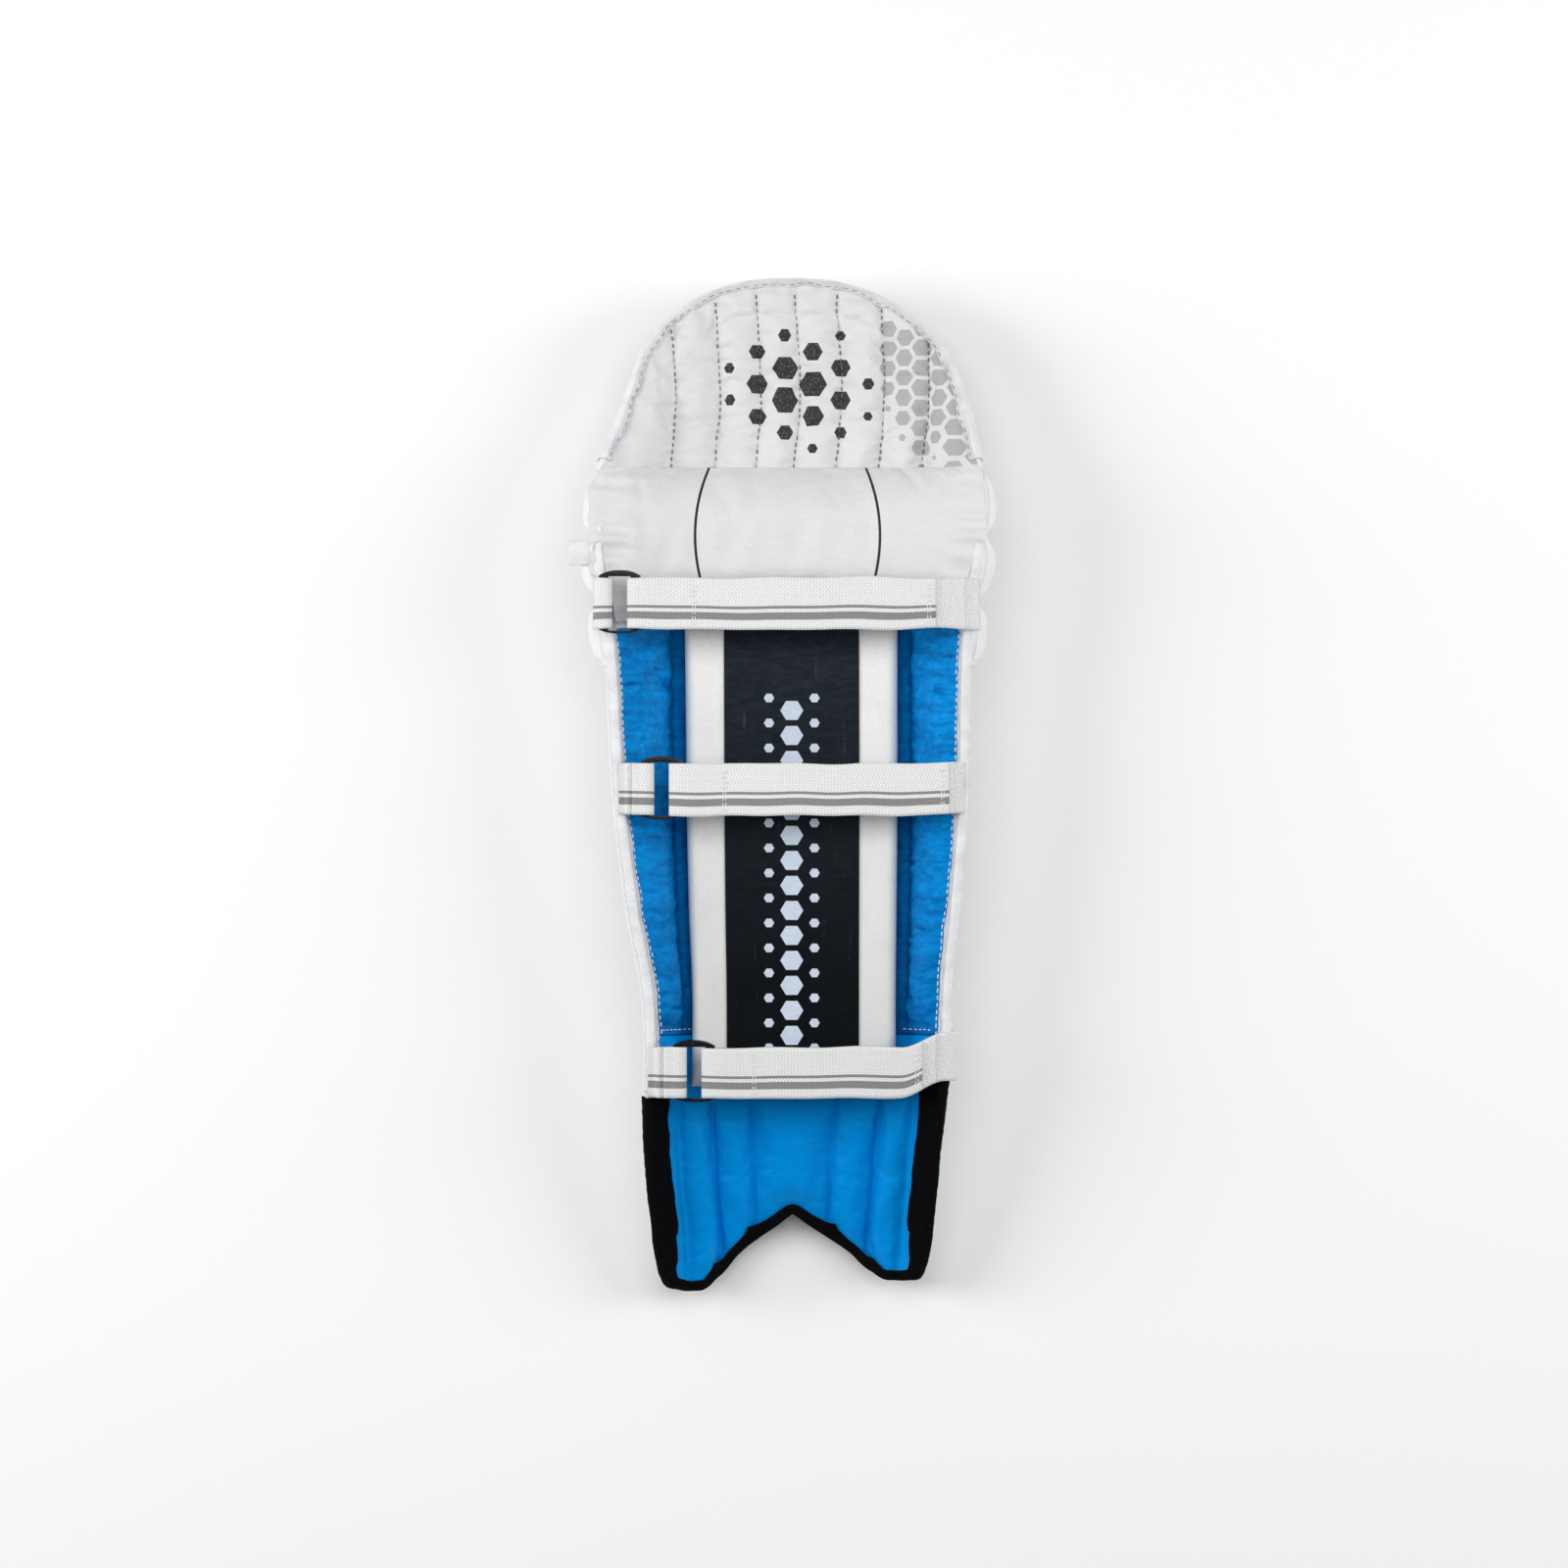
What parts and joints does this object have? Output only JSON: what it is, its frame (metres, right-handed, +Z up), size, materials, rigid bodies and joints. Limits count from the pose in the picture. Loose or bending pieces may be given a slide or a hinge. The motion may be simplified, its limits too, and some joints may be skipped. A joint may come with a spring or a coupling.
{
  "type": "cricket batting pad",
  "caption": "Boys' cricket batting pad lying on its front with the leg side up: padded shin guard with knee bolster, quilted top hat, notched instep and fastened elastic straps.",
  "frame": {"origin": "centre of the bounding box in X and Y, at the floor that the knee rolls and the toes rest on", "axes": "+Y up the pad from the instep to the top hat, +X across it to the wearer's side with the straps' free ends, +Z up from the floor towards the leg"},
  "size_m": [0.2516, 0.6049, 0.106],
  "materials": {
    "white_face": "satin white coated fabric",
    "white_tape": "woven white tape",
    "blue_lining": "shiny close-woven blue lining",
    "black_tape": "woven black tape",
    "cream_fabric": "brushed off-white cloth",
    "black_panel": "scuffed black coated fabric",
    "elastic": "woven white elastic with two grey stripes",
    "pile": "brushed white loop pile",
    "ring": "moulded glossy black"
  },
  "bodies": {
    "root": {"front_face": "white_face", "knee_roll_lower": "white_face", "knee_roll_middle": "white_face", "knee_roll_upper": "white_face", "top_hat": "white_face", "knee_bolster": "white_face", "top_hat_binding": "white_tape", "shin_binding_left": "white_tape", "shin_binding_right": "white_tape", "edge_label": "white_tape", "shin_lining": "blue_lining", "instep_lining": "blue_lining", "instep_binding": "black_tape", "shin_bolster": "cream_fabric", "bolster_panel": "black_panel", "upper_band": "elastic", "upper_tab": "elastic", "upper_patch": "pile", "upper_ring": "ring", "middle_band": "elastic", "middle_tab": "elastic", "middle_patch": "pile", "middle_ring": "ring", "lower_band": "elastic", "lower_tab": "elastic", "lower_patch": "pile", "lower_ring": "ring"}
  },
  "joints": []
}
